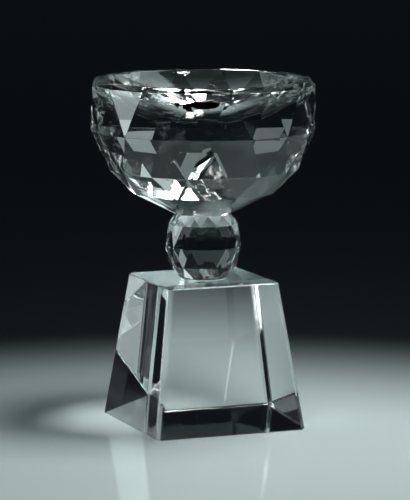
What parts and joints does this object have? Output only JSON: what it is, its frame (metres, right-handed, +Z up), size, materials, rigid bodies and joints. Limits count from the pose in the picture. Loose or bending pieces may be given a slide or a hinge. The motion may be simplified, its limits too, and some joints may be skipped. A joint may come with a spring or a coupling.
{
  "type": "crystal award",
  "caption": "Clear cut-crystal award: a shallow faceted bowl on a faceted ball, bonded to a solid tapered square block with bevelled edges.",
  "frame": {"origin": "centre of the underside of the block, on the surface the award stands on", "axes": "+Z up through the block, the ball and the bowl; the sides of the block run along X and Y"},
  "size_m": [0.1198, 0.1198, 0.1852],
  "materials": {
    "block_crystal": "polished, flat faces with fine ground and polished arrises",
    "ball_crystal": "polished cut facets",
    "bowl_crystal": "polished cut facets outside, polished dish inside",
    "clear_adhesive": "clear cured film"
  },
  "bodies": {
    "root": {"crystal_block": "block_crystal", "base_adhesive_film": "clear_adhesive", "crystal_ball": "ball_crystal", "bowl_adhesive_film": "clear_adhesive", "crystal_bowl": "bowl_crystal"}
  },
  "joints": []
}
